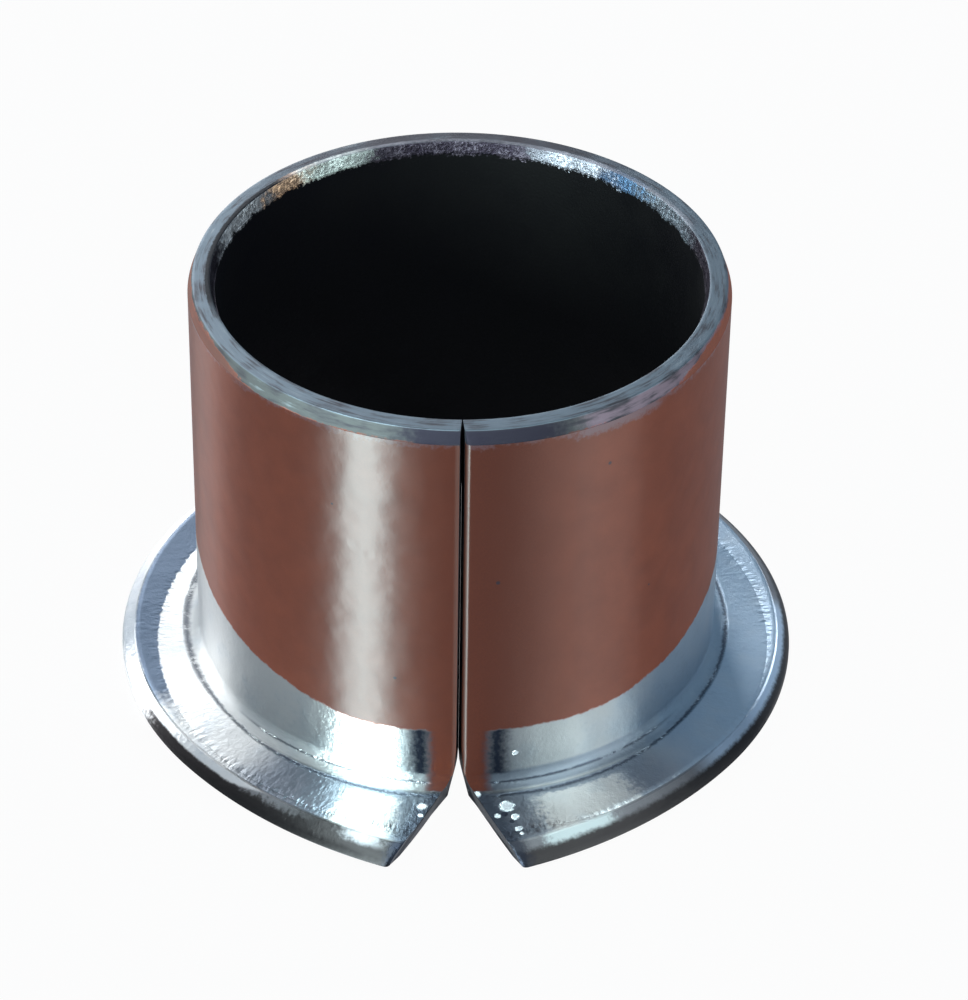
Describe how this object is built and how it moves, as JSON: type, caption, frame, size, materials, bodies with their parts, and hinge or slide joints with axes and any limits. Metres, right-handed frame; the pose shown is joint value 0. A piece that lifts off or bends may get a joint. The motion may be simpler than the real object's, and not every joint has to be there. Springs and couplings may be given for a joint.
{
  "type": "flanged bushing",
  "caption": "Wrapped flanged plain bushing: a thin rolled sleeve with a straight butt gap, a flange at one end notched at the gap, and a black sliding lining in the bore.",
  "frame": {"origin": "on the bore's axis, in the plane of the flange's outer face, which is the face it stands on", "axes": "+Z along the bore's axis, from the flange towards the free end; the gap and the flange's notch face -Y"},
  "size_m": [0.026, 0.0268, 0.017],
  "materials": {
    "plated_steel": "satin copper-brown plating, worn bright on the flange, the foot and the end face",
    "sliding_lining": "matt black polymer lining on the bore and the flange's outer face"
  },
  "bodies": {
    "root": {"bushing": "plated_steel"}
  },
  "joints": []
}
